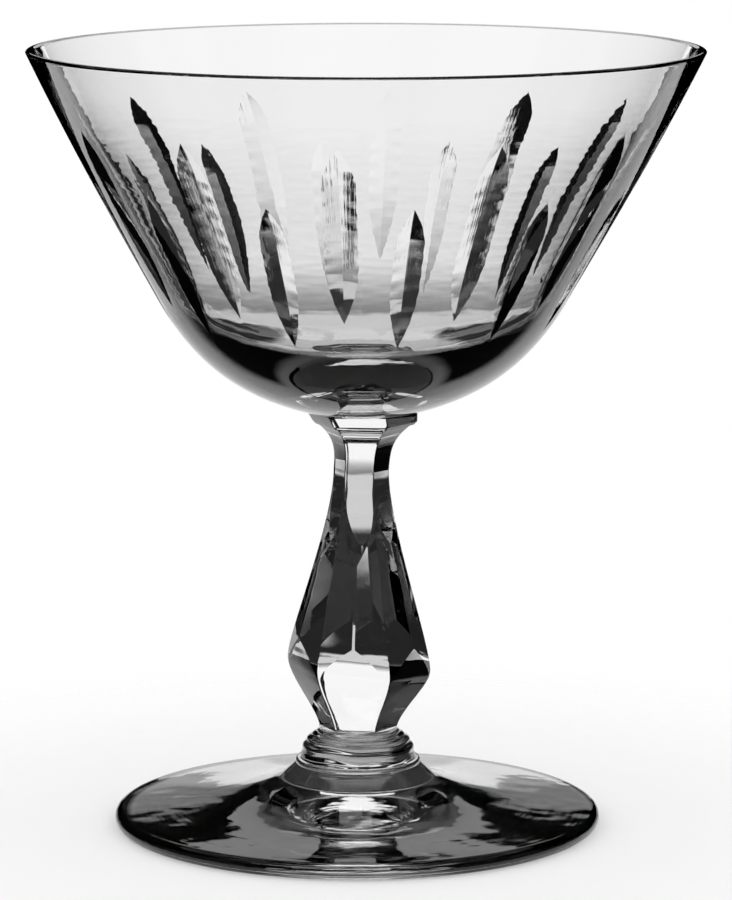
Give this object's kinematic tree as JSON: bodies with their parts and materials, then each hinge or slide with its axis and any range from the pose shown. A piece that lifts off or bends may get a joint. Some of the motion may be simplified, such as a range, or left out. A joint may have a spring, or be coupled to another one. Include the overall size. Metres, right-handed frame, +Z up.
{
  "type": "sherbet glass",
  "caption": "Stemmed sherbet glass of clear glass: flared bowl with rings of upright cut flutes, six-sided stem with a knee, turned collar and round trumpet foot.",
  "frame": {"origin": "centre of the ring that the foot stands on, at the height of the table", "axes": "+Z up along the stem to the open bowl, -Y to the front as pictured, +X to the viewer's right"},
  "size_m": [0.1012, 0.1012, 0.118],
  "materials": {
    "bowl_glass": "clear blown glass, fire-polished lip, polished mitre-cut flutes with fine wheel lines",
    "stem_glass": "clear solid glass, ground to flat sides and polished",
    "foot_glass": "clear solid glass with faint turned tool marks"
  },
  "bodies": {
    "root": {"bowl": "bowl_glass", "merese": "stem_glass", "stem": "stem_glass", "collar": "foot_glass", "foot": "foot_glass"}
  },
  "joints": []
}
